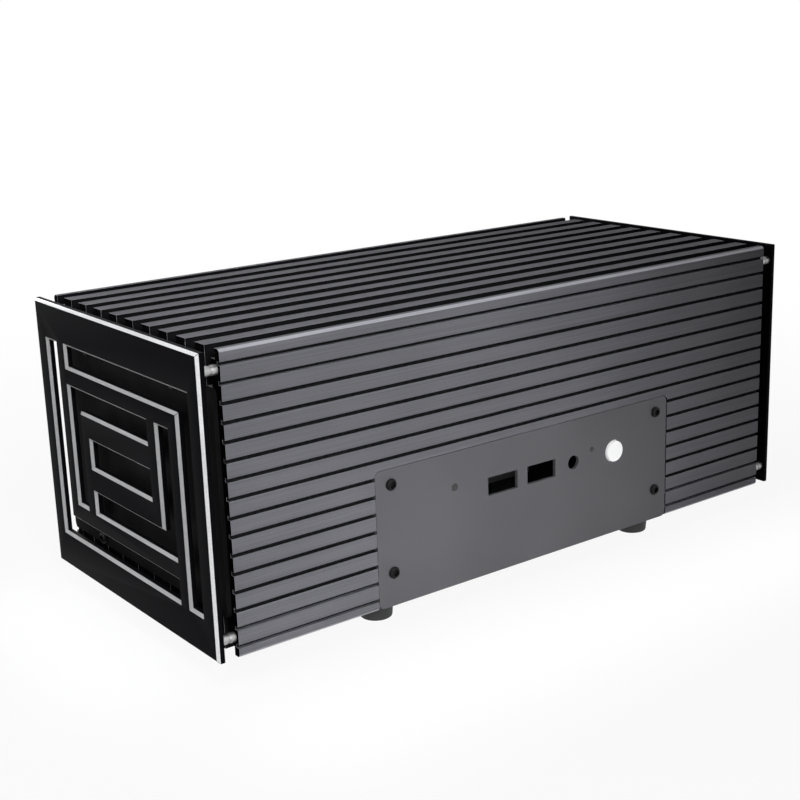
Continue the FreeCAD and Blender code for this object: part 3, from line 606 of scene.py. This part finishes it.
class CASE_OT_screws(bpy.types.Operator):
    """Domed screws with a hexagon socket"""
    bl_idname = "case.screws"
    bl_label = "Screws"

    def screw(self, reach):
        """Screw that points down from the middle of its head, of that total length."""
        s = sizes()
        mesh = bmesh.new()
        bmesh.ops.create_circle(mesh, cap_ends=True, radius=s.socket_radius, segments=6,
                                matrix=Matrix.Translation((0, 0, -s.socket_depth)))
        bmesh.ops.subdivide_edges(mesh, edges=mesh.edges[:], cuts=3)
        self.grow(mesh, 0)
        for share, drop in SCREW_DOME:
            self.grow(mesh, -drop * s.head_height, share * s.head_radius)
        tip = s.shank_radius / 4
        self.grow(mesh, -s.head_height, s.shank_radius)
        self.grow(mesh, tip - reach, s.shank_radius)
        self.grow(mesh, -reach, s.shank_radius - tip)
        bmesh.ops.holes_fill(mesh, edges=[edge for edge in mesh.edges if edge.is_boundary])
        bmesh.ops.recalc_face_normals(mesh, faces=mesh.faces)
        return mesh

    def grow(self, mesh, height, radius=None):
        """Extrude the open rim to a height, and to a circle where a radius is given."""
        rim = [edge for edge in mesh.edges if edge.is_boundary]
        made = bmesh.ops.extrude_edge_only(mesh, edges=rim)
        for vert in (item for item in made["geom"] if isinstance(item, bmesh.types.BMVert)):
            across = vert.co.xy
            if radius:
                across = across.normalized() * radius
            vert.co = (*across, height)

    def execute(self, context):
        back, up = Vector((0, 1, 0)), Vector((0, 0, 1))
        black = coated("screw_black", colours().black, roughness=0.3, specular=0.15)
        zinc = cut_metal("screw_zinc", colours().zinc, 900)
        groups = {"front_io_screws": (-back, black), "rear_io_screws": (back, black),
                  "left_end_screws": (ENDS["left"], black), "right_end_screws": (ENDS["right"], black),
                  "foot_screws": (-up, black), "block_screws": (up, zinc), "tray_screws": (-up, zinc)}
        for node, (outward, finish) in groups.items():
            mesh = self.screw(depth_of(node, outward))
            places = corner_places(node, outward, sizes().head_radius)
            finished(copies(mesh, places), [finish], node)
        dressed_copy("carrier_screws", sizes().plate_edge, [zinc])
        return {"FINISHED"}


class CASE_OT_button(bpy.types.Operator):
    """White push button with a dished face, and its guide cup"""
    bl_idname = "case.button"
    bl_label = "Power button"

    def execute(self, context):
        s = sizes()
        outward = Vector((0, -1, 0))
        low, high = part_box("power_button")
        plate_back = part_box("front_io_plate")[1].y
        flange = (high.x - low.x) / 2
        cap = flange - s.button_flange
        flange_front = low.y - plate_back - s.slide_gap
        flange_back = flange_front - s.flange_thickness
        end = -depth_of("power_button", outward)
        hollow = 0.78 * cap
        mesh = turned([(0, -s.button_dish), (0.5 * hollow, -0.8 * s.button_dish), (hollow, 0), (cap, 0),
                       (cap, flange_front), (flange, flange_front), (flange, flange_back),
                       (s.stem_radius, flange_back), (s.stem_radius, end), (0, end)])
        break_edges(mesh, s.soft_edge, segments=4)
        places = corner_places("power_button", outward, flange)
        # Painted glow on the white button
        white = gloss_plastic("button_white_painted_glow", colours().button, look().button_painted_glow)
        finished(copies(mesh, places), [white], "power_button")
        cup = moulded("carrier_black", colours().rubber, roughness=0.45)
        dressed_copy("button_carrier", s.plate_edge, [cup])
        return {"FINISHED"}


class CASE_OT_front_trim(bpy.types.Operator):
    """Lamp rod, tinted dark as painted shade of its hole, and sensor lens of the front plate"""
    bl_idname = "case.front_trim"
    bl_label = "Lamp and sensor"

    def execute(self, context):
        edge = sizes().plate_edge
        # Lamp rod tinted dark: painted shade of its hole
        rod = clear_plastic("lamp_clear_painted_shade", colours().lamp_rod_shaded)
        dressed_copy("lamp_guide", edge, [rod], segments=3)
        lens = gloss_plastic("lens_smoked", colours().lens)
        dressed_copy("sensor_lens", edge, [lens], segments=3)
        return {"FINISHED"}


class CASE_OT_inside(bpy.types.Operator):
    """Board posts, heat block and drive tray inside the case, the heat block darkened as painted shade"""
    bl_idname = "case.inside"
    bl_label = "Inside pieces"

    def execute(self, context):
        edge = sizes().plate_edge
        brass = cut_metal("post_brass", colours().brass, (400, 400, 5000))
        dressed_copy("board_posts", edge, [brass])
        # Heat block darkened: painted shade inside the case
        milled = cut_metal("block_milled_painted_shade", colours().block, (120, 3500, 3500), roughness=0.5)
        dressed_copy("processor_block", edge, [milled])
        coat = coated("tray_coat", colours().black, roughness=0.55, specular=0.15)
        dressed_copy("drive_tray", edge, [coat])
        return {"FINISHED"}


class CASE_OT_rubber(bpy.types.Operator):
    """Soft feet under the case and plugs in the aerial holes"""
    bl_idname = "case.rubber"
    bl_label = "Feet and plugs"

    def execute(self, context):
        finish = moulded("rubber_black", colours().rubber, roughness=0.62, wear=1.6)
        for row, end in itertools.product(("front", "rear"), ("left", "right")):
            dressed_copy(f"{row}_{end}_foot", sizes().soft_edge, [finish], segments=3)
        dressed_copy("aerial_plugs", sizes().soft_edge, [finish], segments=3)
        return {"FINISHED"}


# Stage

class CASE_OT_stage(bpy.types.Operator):
    """Pale floor, soft lamps, white surroundings and the camera"""
    bl_idname = "case.stage"
    bl_label = "Stage"

    def seen(self, finish):
        """1 for rays from the camera, straight, mirrored or through glass, and 0 for light on things."""
        views = [finish.node("ShaderNodeLightPath", output=name)
                 for name in ("Is Camera Ray", "Is Glossy Ray", "Is Transmission Ray")]
        return finish.span(views[0] + views[1] + views[2], 0, 1)

    def floor(self):
        """Wide pale floor that is plain white away from the case and keeps its shadow beside it."""
        mesh = bmesh.new()
        bmesh.ops.create_grid(mesh, x_segments=1, y_segments=1, size=FLOOR_REACH)
        data = bpy.data.meshes.new("floor")
        mesh.to_mesh(data)
        mesh.free()
        floor = bpy.data.objects.new("floor", data)
        bpy.context.scene.collection.objects.link(floor)
        finish = new_finish("floor_pale")
        place = finish.node("ShaderNodeTexCoord", output="Object")
        away = finish.node("ShaderNodeVectorMath", {"operation": "LENGTH"}, {0: place}, "Value")
        values = look()
        glow = values.floor_glow
        share = glow + (1 - glow) * finish.span(away, values.floor_near, values.floor_far)
        grey = (values.floor_grey,) * 3
        pale = finish.node("ShaderNodeBsdfDiffuse", inputs={"Color": (*grey, 1)})
        white = finish.node("ShaderNodeEmission", inputs={"Strength": 1.0})
        mixed = finish.node("ShaderNodeMixShader", inputs={0: self.seen(finish) * share, 1: pale, 2: white})
        finish.node("ShaderNodeOutputMaterial", inputs={"Surface": mixed})
        data.materials.append(finish.owner)

    def surroundings(self):
        """World that is white to look at and gives an even soft light."""
        world = bpy.data.worlds.new("studio")
        bpy.context.scene.world = world
        finish = Finish(world)
        grey = (look().ambient,) * 3
        light = finish.node("ShaderNodeBackground", inputs={"Color": (*grey, 1)})
        white = finish.node("ShaderNodeBackground", inputs={"Color": (1, 1, 1, 1)})
        mixed = finish.node("ShaderNodeMixShader", inputs={0: self.seen(finish), 1: light, 2: white})
        finish.node("ShaderNodeOutputWorld", inputs={"Surface": mixed})

    def lamp(self, name, place, power, size, aim=(0, 0), spread=math.pi, depth=None):
        """Soft lamp, square or of its own depth, that faces a spot of the case at half its height."""
        light = bpy.data.lights.new(name, "AREA")
        light.energy = power
        light.shape = "RECTANGLE"
        light.size = size
        light.size_y = depth or size
        light.spread = spread
        lamp = bpy.data.objects.new(name, light)
        lamp.location = place
        spot = Vector((*aim, look().aim_height))
        lamp.rotation_mode = "QUATERNION"
        lamp.rotation_quaternion = (spot - lamp.location).to_track_quat("-Z", "Y")
        lamp.visible_camera = False
        bpy.context.scene.collection.objects.link(lamp)

    def camera(self):
        """Camera at the viewing angle of the photograph."""
        values = look()
        data = bpy.data.cameras.new("camera")
        data.lens = values.lens
        data.shift_x = values.shift_x
        data.shift_y = values.shift_y
        camera = bpy.data.objects.new("camera", data)
        back = Vector((0, -1, 0))
        back.rotate(Matrix.Rotation(-values.elevation, 3, "X"))
        back.rotate(Matrix.Rotation(values.azimuth, 3, "Z"))
        camera.location = Vector((0, 0, values.aim_height)) + values.distance * back
        camera.rotation_mode = "QUATERNION"
        turn = (-back).to_track_quat("-Z", "Y").to_matrix() @ Matrix.Rotation(values.roll, 3, "Z")
        camera.rotation_quaternion = turn.to_quaternion()
        data.clip_start = 0.01
        bpy.context.scene.collection.objects.link(camera)
        bpy.context.scene.camera = camera

    def execute(self, context):
        self.floor()
        self.surroundings()
        values = look()
        self.lamp("key_lamp", (-0.2, -0.5, 0.3), values.key_power, 0.25,
                  aim=(-0.078, -0.05), spread=values.key_spread)
        self.lamp("front_strip", (0.06, -0.1, 0.25), values.floor_power, 0.4,
                  aim=(0.06, -0.1), spread=values.floor_spread, depth=0.05)
        self.lamp("left_strip", (-0.15, 0, 0.25), values.floor_power / 5, 0.02,
                  aim=(-0.15, 0), spread=values.floor_spread, depth=0.12)
        self.lamp("top_lamp", (-0.2, 0.1, 1.0), values.top_power, 0.8)
        self.lamp("left_lamp", (-0.6, 0.02, 0.4), values.left_power, 0.2)
        self.lamp("back_lamp", (0, 0.75, 0.12), values.back_power, 0.2)
        self.lamp("right_lamp", (0.6, 0.1, 0.07), values.right_power, 0.1)
        self.camera()
        context.scene.view_settings.view_transform = "Standard"
        return {"FINISHED"}


class CASE_PT_sidebar(bpy.types.Panel):
    """Lists the pieces and their values"""
    bl_idname = "CASE_PT_sidebar"
    bl_label = "Fanless mini case"
    bl_space_type = "VIEW_3D"
    bl_region_type = "UI"
    bl_category = "Case"

    def draw(self, context):
        for operator in OPERATORS:
            self.layout.operator(operator.bl_idname)
        for group in (sizes(), colours(), look()):
            box = self.layout.box()
            for name in group.__annotations__:
                box.prop(group, name)


GROUPS = {"case_sizes": CaseSizes, "case_colours": CaseColours, "case_look": CaseLook}
OPERATORS = (CASE_OT_shells, CASE_OT_end_panels, CASE_OT_panel_pins, CASE_OT_end_plates,
             CASE_OT_port_plates, CASE_OT_screws, CASE_OT_button, CASE_OT_front_trim, CASE_OT_inside,
             CASE_OT_rubber, CASE_OT_stage)
CLASSES = (*GROUPS.values(), *OPERATORS, CASE_PT_sidebar)


def register():
    """Make the classes and the scene's values known."""
    for item in CLASSES:
        bpy.utils.register_class(item)
    for name, group in GROUPS.items():
        setattr(bpy.types.Scene, name, PointerProperty(type=group))


def unregister():
    """Take the values and the classes away again."""
    for name in GROUPS:
        delattr(bpy.types.Scene, name)
    for item in reversed(CLASSES):
        bpy.utils.unregister_class(item)


def main():
    """Make every piece and the stage."""
    register()
    bpy.ops.case.shells()
    bpy.ops.case.end_panels()
    bpy.ops.case.panel_pins()
    bpy.ops.case.end_plates()
    bpy.ops.case.port_plates()
    bpy.ops.case.screws()
    bpy.ops.case.button()
    bpy.ops.case.front_trim()
    bpy.ops.case.inside()
    bpy.ops.case.rubber()
    bpy.ops.case.stage()


if __name__ == "__main__":
    main()
